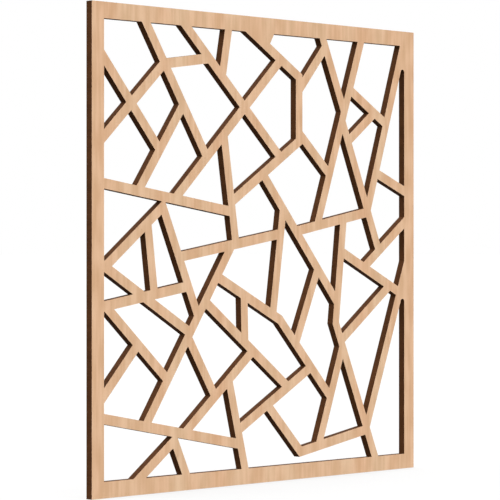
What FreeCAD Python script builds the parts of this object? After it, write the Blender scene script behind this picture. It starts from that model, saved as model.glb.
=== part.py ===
"""Square fretwork wood panel: two stiles and two rails hold a lattice of straight flat bars.

X runs across the panel, Y through its thickness with the front at -Y, and Z up.
The origin is the middle of the bottom edge, halfway through the thickness.
All lengths are in millimetres.
"""
import FreeCAD
import Part
import math
import os

# Overall sizes
panel_width = 594.0
panel_height = 594.0
panel_thickness = 9.5

# Faces of the stiles, rails and lattice bars
stile_width = 19.8
rail_width = 19.8
bar_width = 12.4

# Stub tongues on the bars, tenons on the rails, and the play left around them
tongue_width = 6.0
tongue_depth = 3.5
tenon_width = 12.0
tenon_length = 10.0
tongue_thickness = 3.2
joint_clearance = 0.1

# Glue blocks that fill narrow corners: two with a hollow round end, one with a square end
round_block_radius = 3.75
square_block_length = 25.0

# Each bar's centreline, near end then far end: shares of the panel's width, counted from the
# left edge, and of its height, counted down from the top edge
BAR_SHARES = {
    "bar_01": (0.1503, 0.0330, 0.3240, 0.3014),
    "bar_02": (0.0330, 0.1120, 0.1860, 0.2900),
    "bar_03": (0.0330, 0.2709, 0.2027, 0.1141),
    "bar_04": (0.2030, 0.1153, 0.3340, 0.0969),
    "bar_05": (0.2570, 0.1980, 0.1285, 0.3794),
    "bar_06": (0.2323, 0.3944, 0.5540, 0.0877),
    "bar_07": (0.2650, 0.0330, 0.5534, 0.3004),
    "bar_08": (0.3778, 0.2550, 0.4140, 0.4875),
    "bar_09": (0.3915, 0.0330, 0.3730, 0.1320),
    "bar_10": (0.4625, 0.0330, 0.6120, 0.1223),
    "bar_11": (0.6120, 0.1223, 0.6120, 0.2626),
    "bar_12": (0.6120, 0.1506, 0.6982, 0.0510),
    "bar_13": (0.6895, 0.0330, 0.7591, 0.1902),
    "bar_14": (0.8165, 0.0330, 0.6710, 0.4456),
    "bar_15": (0.7529, 0.2109, 0.8779, 0.5020),
    "bar_16": (0.7773, 0.1411, 0.9028, 0.2143),
    "bar_17": (0.8620, 0.1914, 0.7730, 0.2572),
    "bar_18": (0.9625, 0.0330, 0.8392, 0.4103),
    "bar_19": (0.8664, 0.3252, 0.9660, 0.3650),
    "bar_20": (0.6110, 0.4575, 0.8405, 0.4147),
    "bar_21": (0.4970, 0.3360, 0.7301, 0.6087),
    "bar_22": (0.6124, 0.2449, 0.7106, 0.3322),
    "bar_23": (0.6120, 0.2626, 0.4004, 0.3982),
    "bar_24": (0.5610, 0.4110, 0.5285, 0.6400),
    "bar_25": (0.0330, 0.3656, 0.3970, 0.4180),
    "bar_26": (0.2430, 0.5149, 0.5530, 0.4648),
    "bar_27": (0.0330, 0.5363, 0.1985, 0.4105),
    "bar_28": (0.1988, 0.4120, 0.2976, 0.6327),
    "bar_29": (0.1545, 0.4420, 0.1723, 0.5798),
    "bar_30": (0.9660, 0.4380, 0.8269, 0.5392),
    "bar_31": (0.0330, 0.5320, 0.2780, 0.6730),
    "bar_32": (0.0330, 0.6137, 0.2630, 0.5770),
    "bar_33": (0.0330, 0.6086, 0.2125, 0.7688),
    "bar_34": (0.0330, 0.7940, 0.1273, 0.6933),
    "bar_35": (0.4029, 0.4884, 0.1492, 0.8598),
    "bar_36": (0.0330, 0.8402, 0.4260, 0.9130),
    "bar_37": (0.1330, 0.9660, 0.2313, 0.8950),
    "bar_38": (0.2320, 0.8960, 0.2648, 0.9660),
    "bar_39": (0.2597, 0.8824, 0.4662, 0.7158),
    "bar_40": (0.3924, 0.7740, 0.4416, 0.9660),
    "bar_41": (0.2716, 0.6826, 0.3508, 0.8083),
    "bar_42": (0.3580, 0.5563, 0.5510, 0.6510),
    "bar_43": (0.5510, 0.6510, 0.7140, 0.8250),
    "bar_44": (0.3221, 0.6087, 0.5764, 0.7980),
    "bar_45": (0.4390, 0.5960, 0.4415, 0.6970),
    "bar_46": (0.7580, 0.4300, 0.7320, 0.6620),
    "bar_47": (0.7320, 0.6620, 0.8643, 0.9660),
    "bar_48": (0.7547, 0.7140, 0.6776, 0.9250),
    "bar_49": (0.4206, 0.8836, 0.6504, 0.7570),
    "bar_50": (0.5116, 0.8335, 0.6170, 0.9410),
    "bar_51": (0.6170, 0.9410, 0.8360, 0.9040),
    "bar_52": (0.7499, 0.5031, 0.9504, 0.5970),
    "bar_53": (0.9660, 0.5560, 0.8354, 0.8995),
    "bar_54": (0.7495, 0.7012, 0.9154, 0.5808),
    "bar_55": (0.6729, 0.5402, 0.6009, 0.7043),
}

# What each bar's near end and far end sit on: a piece of the frame or another bar. At a corner it
# is the bar that this one turns into
BAR_SEATS = {
    "bar_01": ("top_rail", "bar_06"),
    "bar_02": ("left_stile", "bar_05"),
    "bar_03": ("left_stile", "bar_01"),
    "bar_04": ("bar_01", "bar_07"),
    "bar_05": ("bar_01", "bar_25"),
    "bar_06": ("bar_25", "bar_10"),
    "bar_07": ("top_rail", "bar_23"),
    "bar_08": ("bar_06", "bar_26"),
    "bar_09": ("top_rail", "bar_07"),
    "bar_10": ("top_rail", "bar_11"),
    "bar_11": ("bar_10", "bar_23"),
    "bar_12": ("bar_11", "bar_13"),
    "bar_13": ("top_rail", "bar_14"),
    "bar_14": ("top_rail", "bar_20"),
    "bar_15": ("bar_14", "bar_30"),
    "bar_16": ("bar_14", "bar_18"),
    "bar_17": ("bar_16", "bar_15"),
    "bar_18": ("top_rail", "bar_15"),
    "bar_19": ("bar_18", "right_stile"),
    "bar_20": ("bar_21", "bar_15"),
    "bar_21": ("bar_23", "bar_46"),
    "bar_22": ("bar_11", "bar_14"),
    "bar_23": ("bar_11", "bar_08"),
    "bar_24": ("bar_21", "bar_42"),
    "bar_25": ("left_stile", "bar_08"),
    "bar_26": ("bar_28", "bar_24"),
    "bar_27": ("bar_31", "bar_28"),
    "bar_28": ("bar_27", "bar_35"),
    "bar_29": ("bar_27", "bar_32"),
    "bar_30": ("right_stile", "bar_52"),
    "bar_31": ("left_stile", "bar_35"),
    "bar_32": ("left_stile", "bar_28"),
    "bar_33": ("bar_32", "bar_35"),
    "bar_34": ("left_stile", "bar_33"),
    "bar_35": ("bar_26", "bar_36"),
    "bar_36": ("left_stile", "bar_40"),
    "bar_37": ("bottom_rail", "bar_38"),
    "bar_38": ("bar_37", "bottom_rail"),
    "bar_39": ("bar_36", "bar_44"),
    "bar_40": ("bar_39", "bottom_rail"),
    "bar_41": ("bar_35", "bar_39"),
    "bar_42": ("bar_35", "bar_43"),
    "bar_43": ("bar_42", "bar_48"),
    "bar_44": ("bar_35", "bar_49"),
    "bar_45": ("bar_42", "bar_44"),
    "bar_46": ("bar_20", "bar_47"),
    "bar_47": ("bar_46", "bottom_rail"),
    "bar_48": ("bar_47", "bar_51"),
    "bar_49": ("bar_40", "bar_43"),
    "bar_50": ("bar_49", "bar_51"),
    "bar_51": ("bar_50", "bar_47"),
    "bar_52": ("bar_46", "bar_53"),
    "bar_53": ("right_stile", "bar_47"),
    "bar_54": ("bar_47", "bar_52"),
    "bar_55": ("bar_21", "bar_43"),
}

# Corners: the first bar's far end is mitred to the second bar's near end, and has the tongue
CORNERS = (
    ("bar_10", "bar_11"),
    ("bar_11", "bar_23"),
    ("bar_27", "bar_28"),
    ("bar_37", "bar_38"),
    ("bar_42", "bar_43"),
    ("bar_46", "bar_47"),
    ("bar_50", "bar_51"),
)
# Half laps: the first bar passes in front of the second
LAPS = (("bar_03", "bar_02"), ("bar_07", "bar_06"), ("bar_31", "bar_32"))
# Bars whose mitred corner also lies under the edge of another bar
CORNER_TRIMS = {"bar_27": "bar_25", "bar_28": "bar_25", "bar_37": "bar_36", "bar_38": "bar_36"}
# A bar in the corner of the frame, whose tongue also enters the piece beside its seat
SIDE_POCKETS = {"bar_18": "right_stile"}
# Bars that leave the right stile at a narrow angle, which a block with a round end fills
ROUND_BLOCK_BARS = ("bar_18", "bar_53")
# The bar that leaves the top rail at a narrow angle, which a block with a square end fills
SQUARE_BLOCK_BAR = "bar_10"

NEAR, FAR = 0, 1
RIGHT = FreeCAD.Vector(1, 0, 0)
BACK = FreeCAD.Vector(0, 1, 0)
UP = FreeCAD.Vector(0, 0, 1)
opening_half = panel_width / 2 - stile_width
opening_top = panel_height - rail_width


def slab(points, thickness, middle_y=0):
    """Flat solid on an outline in the panel's plane, centred through its thickness on middle_y."""
    face = Part.Face(Part.makePolygon(points + points[:1]))
    face.translate(BACK * (middle_y - thickness / 2))
    return face.extrude(BACK * thickness)


def block(left, right, bottom, top, thickness):
    """Upright rectangular slab between two X places and two heights."""
    corners = ((left, bottom), (right, bottom), (right, top), (left, top))
    return slab([FreeCAD.Vector(x, 0, z) for x, z in corners], thickness)


def square_to(along):
    """Direction in the panel's plane at a right angle to another one."""
    return FreeCAD.Vector(-along.z, 0, along.x)


def crossing(point, along, other_point, other_along):
    """Where two lines in the panel's plane meet."""
    spread = along.x * other_along.z - along.z * other_along.x
    gap = other_point - point
    return point + along * ((gap.x * other_along.z - gap.z * other_along.x) / spread)


def centreline(bar):
    """Near end and direction of a bar's centreline."""
    near_x, near_down, far_x, far_down = BAR_SHARES[bar]
    near = FreeCAD.Vector(panel_width * near_x - panel_width / 2, 0, panel_height * (1 - near_down))
    far = FreeCAD.Vector(panel_width * far_x - panel_width / 2, 0, panel_height * (1 - far_down))
    return near, (far - near).normalize()


def middle(bar):
    """A point halfway along a bar's drawn centreline."""
    near_x, near_down, far_x, far_down = BAR_SHARES[bar]
    across = (near_x + far_x) / 2
    down = (near_down + far_down) / 2
    return FreeCAD.Vector(panel_width * across - panel_width / 2, 0, panel_height * (1 - down))


def frame_seat(name):
    """Inner edge of a frame piece: a point on it, its direction and the way into the wood."""
    return {
        "left_stile": (RIGHT * -opening_half, UP, RIGHT * -1),
        "right_stile": (RIGHT * opening_half, UP, RIGHT),
        "bottom_rail": (UP * rail_width, RIGHT, UP * -1),
        "top_rail": (UP * opening_top, RIGHT, UP),
    }[name]


def bar_seat(bar, other):
    """Edge of the other bar that faces this one, as frame_seat gives it."""
    near, along = centreline(other)
    into = square_to(along)
    if (middle(bar) - near).dot(into) > 0:
        into = into * -1
    return near - into * (bar_width / 2), along, into


def mitre_seat(bar, mate):
    """Line that halves the corner between two bars, as frame_seat gives it."""
    near, along = centreline(bar)
    mate_near, mate_along = centreline(mate)
    corner = crossing(near, along, mate_near, mate_along)
    away = (middle(bar) - corner).normalize()
    mate_away = (middle(mate) - corner).normalize()
    halving = (away + mate_away).normalize()
    into = square_to(halving)
    if into.dot(away) > 0:
        into = into * -1
    return corner, halving, into


def seat(bar, end):
    """Line that closes a bar at its near or far end, with its direction and the way past it."""
    carrier = BAR_SEATS[bar][end]
    if carrier not in BAR_SEATS:
        return frame_seat(carrier)
    if (bar, carrier) in CORNERS or (carrier, bar) in CORNERS:
        return mitre_seat(bar, carrier)
    return bar_seat(bar, carrier)


def outline(bar):
    """Four corners of a bar between its two seats."""
    start, along = centreline(bar)
    side = square_to(along) * (bar_width / 2)
    near_point, near_along, _ = seat(bar, NEAR)
    far_point, far_along, _ = seat(bar, FAR)
    return [
        crossing(start + side, along, near_point, near_along),
        crossing(start + side, along, far_point, far_along),
        crossing(start - side, along, far_point, far_along),
        crossing(start - side, along, near_point, near_along),
    ]


def tongue(bar, end, play):
    """Stub tongue square to a bar's seat, grown by the play on every side.

    It reaches as far back into its own bar as it stands out of it.
    """
    start, along = centreline(bar)
    point, seat_along, into = seat(bar, end)
    root = crossing(start, along, point, seat_along)
    side = seat_along * (tongue_width / 2 + play)
    reach = into * (tongue_depth + play)
    points = [root - side - reach, root + side - reach, root + side + reach, root - side + reach]
    return slab(points, tongue_thickness + 2 * play)


def tongue_ends(bar):
    """The ends of a bar that have a tongue, each with what it enters."""
    return [(end, carrier) for end, carrier in enumerate(BAR_SEATS[bar]) if (carrier, bar) not in CORNERS]


def lattice_bar(bar):
    """One bar with its tongues, before other bars' tongues and laps are cut into it."""
    opening = block(-opening_half, opening_half, rail_width, opening_top, panel_thickness)
    wood = slab(outline(bar), panel_thickness).common(opening)
    for end, _ in tongue_ends(bar):
        wood = wood.fuse(tongue(bar, end, 0))
    if bar in CORNER_TRIMS:
        wood = wood.cut(slab(outline(CORNER_TRIMS[bar]), panel_thickness))
    return wood


def round_block(bar):
    """Glue block in the narrow corner between a bar and the right stile, with a hollow round end.

    The round touches both edges, so it begins as far from their crossing as its radius divided
    by the tangent of half the angle between them.
    """
    near, along = centreline(bar)
    edge = near + square_to(along) * (bar_width / 2)
    stile_point, stile_along, stile_into = frame_seat("right_stile")
    tip = crossing(edge, along, stile_point, stile_along)
    down = stile_along * -1
    reach = round_block_radius / math.tan(along.getAngle(down) / 2)
    on_bar = tip + along * reach
    on_stile = tip + down * reach
    centre = on_stile - stile_into * round_block_radius
    crown = centre + (tip - centre).normalize() * round_block_radius
    edges = [
        Part.LineSegment(tip, on_bar).toShape(),
        Part.Arc(on_bar, crown, on_stile).toShape(),
        Part.LineSegment(on_stile, tip).toShape(),
    ]
    face = Part.Face(Part.Wire(edges))
    face.translate(BACK * (-panel_thickness / 2))
    return face.extrude(BACK * panel_thickness)


def square_block(bar):
    """Glue block in the narrow corner between a bar and the top rail, cut square to the bar."""
    near, along = centreline(bar)
    edge = near + square_to(along) * (bar_width / 2)
    rail_point, rail_along, _ = frame_seat("top_rail")
    tip = crossing(edge, along, rail_point, rail_along)
    heel = tip + along * square_block_length
    return slab([tip, heel, crossing(heel, square_to(along), rail_point, rail_along)], panel_thickness)


def tenon_strip(bottom, play):
    """Strip through a rail's heart that stands out as its two tenons, grown by the play."""
    half_length = opening_half + tenon_length + play
    low = bottom + (rail_width - tenon_width) / 2 - play
    high = low + tenon_width + 2 * play
    return block(-half_length, half_length, low, high, tongue_thickness + 2 * play)


def stile(left):
    """Full-height upright of the frame with a mortise for each rail."""
    wood = block(left, left + stile_width, 0, panel_height, panel_thickness)
    for bottom in (0, opening_top):
        wood = wood.cut(tenon_strip(bottom, joint_clearance))
    return wood


def rail(bottom):
    """Crosspiece between the stiles with a tenon at each end."""
    wood = block(-opening_half, opening_half, bottom, bottom + rail_width, panel_thickness)
    return wood.fuse(tenon_strip(bottom, 0))


def cut_joints(pieces):
    """Sink each bar's tongues into what carries them, and halve the bars that cross."""
    for bar in BAR_SEATS:
        for end, carrier in tongue_ends(bar):
            pocket = tongue(bar, end, joint_clearance)
            pieces[carrier] = pieces[carrier].cut(pocket)
            if bar in SIDE_POCKETS:
                pieces[SIDE_POCKETS[bar]] = pieces[SIDE_POCKETS[bar]].cut(pocket)
    for over, under in LAPS:
        half = panel_thickness / 2
        pieces[over] = pieces[over].cut(slab(outline(under), half, half / 2))
        pieces[under] = pieces[under].cut(slab(outline(over), half, -half / 2))


def build():
    """All pieces of the panel by node name, with the three glue blocks in one node."""
    pieces = {
        "left_stile": stile(-panel_width / 2),
        "right_stile": stile(opening_half),
        "bottom_rail": rail(0),
        "top_rail": rail(opening_top),
    }
    for bar in BAR_SHARES:
        pieces[bar] = lattice_bar(bar)
    cut_joints(pieces)
    nodes = {}
    for name, shape in pieces.items():
        node = "lattice_" + name if name in BAR_SHARES else name
        nodes[node], = shape.removeSplitter().Solids
    blocks = [round_block(bar) for bar in ROUND_BLOCK_BARS]
    nodes["corner_blocks"] = Part.makeCompound(blocks + [square_block(SQUARE_BLOCK_BAR)])
    return nodes


os.makedirs("parts", exist_ok=True)
for node, shape in build().items():
    print(node, shape.isValid(), [round(solid.Volume) for solid in shape.Solids])
    shape.exportStep("parts/%s.step" % node)
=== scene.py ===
"""Looks of a square fretwork wood panel: pale straight-grained faces, dark brown cut edges, soft light.

X runs across the panel, Y through its thickness with the front at -Y, and Z up, in metres.
"""
import math

import bpy
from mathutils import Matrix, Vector


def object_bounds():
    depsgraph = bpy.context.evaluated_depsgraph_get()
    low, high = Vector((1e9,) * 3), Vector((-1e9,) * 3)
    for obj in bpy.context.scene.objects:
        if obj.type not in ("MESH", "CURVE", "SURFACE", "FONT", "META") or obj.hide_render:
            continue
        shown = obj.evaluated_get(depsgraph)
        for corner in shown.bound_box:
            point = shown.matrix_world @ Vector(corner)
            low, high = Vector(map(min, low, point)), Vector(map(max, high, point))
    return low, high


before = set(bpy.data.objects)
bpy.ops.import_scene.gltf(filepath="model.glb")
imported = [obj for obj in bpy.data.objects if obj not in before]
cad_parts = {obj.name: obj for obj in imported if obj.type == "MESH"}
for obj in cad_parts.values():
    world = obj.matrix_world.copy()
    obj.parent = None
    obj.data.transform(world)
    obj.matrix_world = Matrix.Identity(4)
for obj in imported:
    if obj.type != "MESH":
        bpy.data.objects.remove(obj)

MM = 0.001
cad_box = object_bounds()
panel_low, panel_high = (Vector(corner) for corner in cad_box)
panel_height = panel_high.z - panel_low.z


def srgb(red, green, blue):
    """Linear colour of a screen colour given in 0 to 255: the sRGB curve undone for each channel."""
    shares = [level / 255 for level in (red, green, blue)]
    return [s / 12.92 if s <= 0.04045 else ((s + 0.055) / 1.055) ** 2.4 for s in shares] + [1.0]


# Colours of the faces: the deepest and palest tone of straw-coloured and of rosy wood, and the pores
STRAW_DEEP = srgb(212, 175, 139)
STRAW_PALE = srgb(228, 194, 160)
ROSE_DEEP = srgb(212, 168, 131)
ROSE_PALE = srgb(228, 187, 152)
PORE_BROWN = srgb(160, 115, 80)

# Colours of the cut edges: the plain dark brown, and the darkest brown of the patches and marks
CUT_BROWN = srgb(83, 51, 28)
CUT_DARK_BROWN = srgb(53, 31, 15)

# Grain marks: width across the panel and length up it
HUE_WIDTH, HUE_LENGTH = 34 * MM, 2000 * MM
FIGURE_WIDTH, FIGURE_LENGTH = 13 * MM, 34 * MM
LINE_WIDTH, LINE_LENGTH = 4 * MM, 50 * MM
STREAK_WIDTH, STREAK_LENGTH = 7.5 * MM, 2500 * MM
FIBRE_WIDTH, FIBRE_LENGTH = 0.8 * MM, 70 * MM
PORE_WIDTH, PORE_LENGTH = 0.4 * MM, 6 * MM
WAVER_WIDTH, WAVER_LENGTH, WAVER_REACH = 120 * MM, 500 * MM, 2.5 * MM
# A mark's width as a share of its depth through the panel
GRAIN_DEPTH_SHARE = 0.35
# Sideways place in the hue's noise, at which both stiles are rosy
HUE_START = 13292 * MM

# Strength of the grain: shares of the finer marks in the tone, of brown in a pore, of fibre in the relief
LINE_SHARE, STREAK_SHARE, FIBRE_SHARE = 0.9, 0.25, 0.3
PORE_SHARE = 0.35
FIBRE_RELIEF_SHARE = 0.5

# Marks on the cut edges, and how much darker brown the fine marks and the patches add
CUT_MARK_WIDTH, CUT_MARK_LENGTH = 0.7 * MM, 20 * MM
CUT_PATCH_SIZE = 14 * MM
MARK_DARKENING = (0.0, 0.4)
PATCH_DARKENING = (0.0, 0.3)

# Noise: its middle, how many finer layers lie over the widest marks, and how much each of them weighs
NOISE_MIDDLE = 0.5
NO_LAYER, ONE_LAYER, TWO_LAYERS = 0.0, 1.0, 2.0
EVEN_WEIGHT, HEAVY_WEIGHT = 0.5, 0.6
# Part of the noise's range in which each effect goes from none to full
HUE_SPAN = (0.20, 0.80)
TONE_SPAN = (0.08, 0.97)
PORE_SPAN = (0.68, 0.76)
FIBRE_SPAN = (0.25, 0.75)
CUT_SPAN = (0.30, 0.70)

# Surface of the wood: roughness from smoothest to roughest, a faint gleam and a shallow relief
FACE_ROUGHNESS = (0.58, 0.70)
CUT_ROUGHNESS = (0.72, 0.86)
GLEAM = 0.04
RELIEF_STRENGTH, RELIEF_DEPTH = 0.25, 0.2 * MM
# A surface that faces along Y by less than this is a cut edge
FACE_LIMIT = 0.5

# Camera: seen from the left of the front, level with the panel's middle
CAMERA_AZIMUTH = math.radians(-46.12)
CAMERA_DISTANCE = 3.0625
CAMERA_LENS = 173.58
CAMERA_SENSOR = 36
AIM_LEFT = 25.6 * MM

# Light of the room: brighter towards the ceiling, white where the camera looks past the panel
WHITE = (1, 1, 1, 1)
GREY = (0.5, 0.5, 0.5, 1)
BACKDROP_LIGHT = 1.0
HORIZON_LIGHT = 1.03
CEILING_LIGHT = 2.98
FLOOR_LIGHT = 0.17
FLOOR_SIZE = 200.0
FLOOR_GAP = 0.5 * MM
FLOOR_SHADOW_SHARE = 0.25


class Tree:
    """A node tree that is written as nested calls: each call adds a node and hands back its socket."""

    def __init__(self, tree):
        self.nodes = tree.nodes
        self.links = tree.links

    def put(self, socket, value):
        if isinstance(value, bpy.types.NodeSocket):
            self.links.new(value, socket)
        elif value is not None:
            socket.default_value = value

    def add(self, kind, inputs=(), output=0, **settings):
        node = self.nodes.new(kind)
        for name, value in settings.items():
            setattr(node, name, value)
        for key, value in dict(inputs).items():
            self.put(node.inputs[key], value)
        return node.outputs[output]

    def close(self, kind, surface):
        """Lead the surface into the tree's output node."""
        self.put(self.nodes.new(kind).inputs["Surface"], surface)

    def math(self, operation, first, second=None):
        return self.add("ShaderNodeMath", {0: first, 1: second}, operation=operation)

    def vector_math(self, operation, first, second):
        return self.add("ShaderNodeVectorMath", {0: first, 1: second}, operation=operation)

    def span(self, value, source, target=(0.0, 1.0)):
        """Value carried smoothly from one range to another and held at its ends."""
        inputs = {"Value": value}
        inputs["From Min"], inputs["From Max"] = source
        inputs["To Min"], inputs["To Max"] = target
        return self.add("ShaderNodeMapRange", inputs, interpolation_type="SMOOTHSTEP")

    def mix(self, share, first, second):
        """Colour between two colours."""
        inputs = {0: share, 6: first, 7: second}
        return self.add("ShaderNodeMix", inputs, output=2, data_type="RGBA", clamp_factor=True)

    def noise(self, place, sizes, layers=TWO_LAYERS, weight=EVEN_WEIGHT):
        """Noise whose marks have the given sizes along X, Y and Z."""
        vector = self.vector_math("MULTIPLY", place, [1 / size for size in sizes])
        inputs = {"Vector": vector, "Scale": 1.0, "Detail": layers, "Roughness": weight}
        return self.add("ShaderNodeTexNoise", inputs)


def blank_tree(data):
    """Emptied node tree of a material or world."""
    data.use_nodes = True
    data.node_tree.nodes.clear()
    return Tree(data.node_tree)


def finish_group(name):
    """Empty node group of a finish, which takes a position and gives a colour, a roughness and a height."""
    shell = bpy.data.node_groups.new(name, "ShaderNodeTree")
    shell.interface.new_socket("Position", in_out="INPUT", socket_type="NodeSocketVector")
    kinds = {"Color": "NodeSocketColor", "Roughness": "NodeSocketFloat", "Height": "NodeSocketFloat"}
    for socket, kind in kinds.items():
        shell.interface.new_socket(socket, in_out="OUTPUT", socket_type=kind)
    place = shell.nodes.new("NodeGroupInput").outputs["Position"]
    results = shell.nodes.new("NodeGroupOutput").inputs
    return shell, Tree(shell), place, results


def face_grain():
    """Straight grain that runs up the panel: a soft figure, lines, long streaks, fibres and short pores.

    Every layer is noise that changes fast across the panel and slowly up it. The tone is the
    figure plus a share of each finer layer, and the hue has a slow noise of its own. A wide
    noise first pushes the place sideways a little, so that the lines waver.
    """
    shell, tree, place, results = finish_group("face grain")
    waver = tree.noise(place, (WAVER_WIDTH, WAVER_WIDTH, WAVER_LENGTH), ONE_LAYER)
    shift = tree.math("MULTIPLY", tree.math("SUBTRACT", waver, NOISE_MIDDLE), WAVER_REACH)
    sideways = tree.add("ShaderNodeCombineXYZ", {"X": shift})
    moved = tree.vector_math("ADD", place, sideways)

    def marks(start, width, length, layers, weight=EVEN_WEIGHT):
        return tree.noise(start, (width, width / GRAIN_DEPTH_SHARE, length), layers, weight)

    hue_start = tree.vector_math("ADD", moved, (HUE_START, 0, 0))
    hue = tree.span(marks(hue_start, HUE_WIDTH, HUE_LENGTH, NO_LAYER), HUE_SPAN)
    line = marks(moved, LINE_WIDTH, LINE_LENGTH, ONE_LAYER)
    streak = marks(moved, STREAK_WIDTH, STREAK_LENGTH, TWO_LAYERS, HEAVY_WEIGHT)
    fibre = marks(moved, FIBRE_WIDTH, FIBRE_LENGTH, TWO_LAYERS, HEAVY_WEIGHT)
    pore = tree.span(marks(moved, PORE_WIDTH, PORE_LENGTH, ONE_LAYER), PORE_SPAN)

    tone = marks(moved, FIGURE_WIDTH, FIGURE_LENGTH, NO_LAYER)
    for finer, share in ((line, LINE_SHARE), (streak, STREAK_SHARE), (fibre, FIBRE_SHARE)):
        swing = tree.math("SUBTRACT", finer, NOISE_MIDDLE)
        tone = tree.math("ADD", tone, tree.math("MULTIPLY", swing, share))
    tone = tree.span(tone, TONE_SPAN)
    straw = tree.mix(tone, STRAW_DEEP, STRAW_PALE)
    rose = tree.mix(tone, ROSE_DEEP, ROSE_PALE)
    clear_wood = tree.mix(hue, straw, rose)
    tree.put(results["Color"], tree.mix(tree.math("MULTIPLY", pore, PORE_SHARE), clear_wood, PORE_BROWN))
    tree.put(results["Roughness"], tree.span(fibre, FIBRE_SPAN, FACE_ROUGHNESS))
    ridges = tree.math("MULTIPLY", fibre, FIBRE_RELIEF_SHARE)
    tree.put(results["Height"], tree.math("SUBTRACT", ridges, pore))
    return shell


def dark_cut_edge():
    """Cut edge: dark brown with darker patches and fine marks straight through the thickness."""
    shell, tree, place, results = finish_group("dark cut")
    marks = tree.noise(place, (CUT_MARK_WIDTH, CUT_MARK_LENGTH, CUT_MARK_WIDTH))
    patches = tree.noise(place, [CUT_PATCH_SIZE] * 3)
    darkening = tree.math("ADD", tree.span(marks, CUT_SPAN, MARK_DARKENING), tree.span(patches, CUT_SPAN, PATCH_DARKENING))
    tree.put(results["Color"], tree.mix(darkening, CUT_BROWN, CUT_DARK_BROWN))
    tree.put(results["Roughness"], tree.span(marks, CUT_SPAN, CUT_ROUGHNESS))
    tree.put(results["Height"], marks)
    return shell


def pale_wood():
    """The one wood of the panel: grain on the front and back faces, dark brown on every cut edge."""
    material = bpy.data.materials.new("pale_wood")
    tree = blank_tree(material)
    coordinates = tree.nodes.new("ShaderNodeTexCoord").outputs
    facing = tree.add("ShaderNodeSeparateXYZ", {0: coordinates["Normal"]}, output=1)
    edge = tree.math("LESS_THAN", tree.math("ABSOLUTE", facing), FACE_LIMIT)

    def finish(node_tree):
        node = tree.nodes.new("ShaderNodeGroup")
        node.node_tree = node_tree
        tree.put(node.inputs["Position"], coordinates["Object"])
        return node.outputs

    face = finish(face_grain())
    cut = finish(dark_cut_edge())
    height = tree.add("ShaderNodeMix", {0: edge, 2: face["Height"], 3: cut["Height"]})
    relief = {"Strength": RELIEF_STRENGTH, "Distance": RELIEF_DEPTH, "Height": height}
    surface = {
        "Base Color": tree.mix(edge, face["Color"], cut["Color"]),
        "Roughness": tree.add("ShaderNodeMix", {0: edge, 2: face["Roughness"], 3: cut["Roughness"]}),
        "Specular IOR Level": GLEAM,
        "Normal": tree.add("ShaderNodeBump", relief),
    }
    tree.close("ShaderNodeOutputMaterial", tree.add("ShaderNodeBsdfPrincipled", surface))
    return material


def seen_directly(tree):
    """1 for what the camera sees by itself, mirrored or through glass, and 0 for light that bounces."""
    path = tree.nodes.new("ShaderNodeLightPath").outputs
    seen = tree.math("MAXIMUM", path["Is Camera Ray"], path["Is Glossy Ray"])
    return tree.math("MAXIMUM", seen, path["Is Transmission Ray"])


def white_floor():
    """Floor that looks white, keeps a soft shadow and throws little light back up."""
    material = bpy.data.materials.new("white_floor")
    tree = blank_tree(material)
    glow = tree.add("ShaderNodeEmission", {"Color": WHITE, "Strength": BACKDROP_LIGHT})
    shaded = tree.add("ShaderNodeBsdfDiffuse", {"Color": GREY})
    shown = tree.add("ShaderNodeMixShader", {0: FLOOR_SHADOW_SHARE, 1: glow, 2: shaded})
    bounce = tree.add("ShaderNodeEmission", {"Color": WHITE, "Strength": FLOOR_LIGHT})
    surface = tree.add("ShaderNodeMixShader", {0: seen_directly(tree), 1: bounce, 2: shown})
    tree.close("ShaderNodeOutputMaterial", surface)
    return material


def lay_floor():
    """Square floor just under the panel's bottom edge."""
    half = FLOOR_SIZE / 2
    level = panel_low.z - FLOOR_GAP
    corners = [(-half, -half, level), (half, -half, level), (half, half, level), (-half, half, level)]
    mesh = bpy.data.meshes.new("floor")
    mesh.from_pydata(corners, [], [(0, 1, 2, 3)])
    mesh.materials.append(white_floor())
    floor = bpy.data.objects.new("floor", mesh)
    bpy.context.scene.collection.objects.link(floor)


def light_room():
    """Soft light that is even all round and brighter from above."""
    world = bpy.data.worlds.new("soft_room")
    tree = blank_tree(world)
    direction = tree.add("ShaderNodeTexCoord", output="Generated")
    rise = tree.add("ShaderNodeSeparateXYZ", {0: direction}, output=2)
    level = tree.add("ShaderNodeMapRange", {"Value": rise, "To Min": HORIZON_LIGHT, "To Max": CEILING_LIGHT})
    room = tree.add("ShaderNodeBackground", {"Color": WHITE, "Strength": level})
    backdrop = tree.add("ShaderNodeBackground", {"Color": WHITE, "Strength": BACKDROP_LIGHT})
    surface = tree.add("ShaderNodeMixShader", {0: seen_directly(tree), 1: room, 2: backdrop})
    tree.close("ShaderNodeOutputWorld", surface)
    bpy.context.scene.world = world


def place_camera():
    """Long lens aimed at the front face, a little left of its middle."""
    data = bpy.data.cameras.new("camera")
    data.sensor_width = CAMERA_SENSOR
    data.lens = CAMERA_LENS
    camera = bpy.data.objects.new("camera", data)
    aim = Vector((-AIM_LEFT, panel_low.y, panel_low.z + panel_height / 2))
    back = Vector((math.sin(CAMERA_AZIMUTH), -math.cos(CAMERA_AZIMUTH), 0))
    camera.location = aim + back * CAMERA_DISTANCE
    camera.rotation_euler = back.to_track_quat("Z", "Y").to_euler()
    bpy.context.scene.collection.objects.link(camera)
    bpy.context.scene.camera = camera


def finish_wood():
    """Put the wood on every piece of the panel."""
    wood = pale_wood()
    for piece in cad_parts.values():
        for slot in piece.material_slots:
            slot.material = wood


finish_wood()
lay_floor()
light_room()
place_camera()
bpy.context.scene.view_settings.view_transform = "Standard"
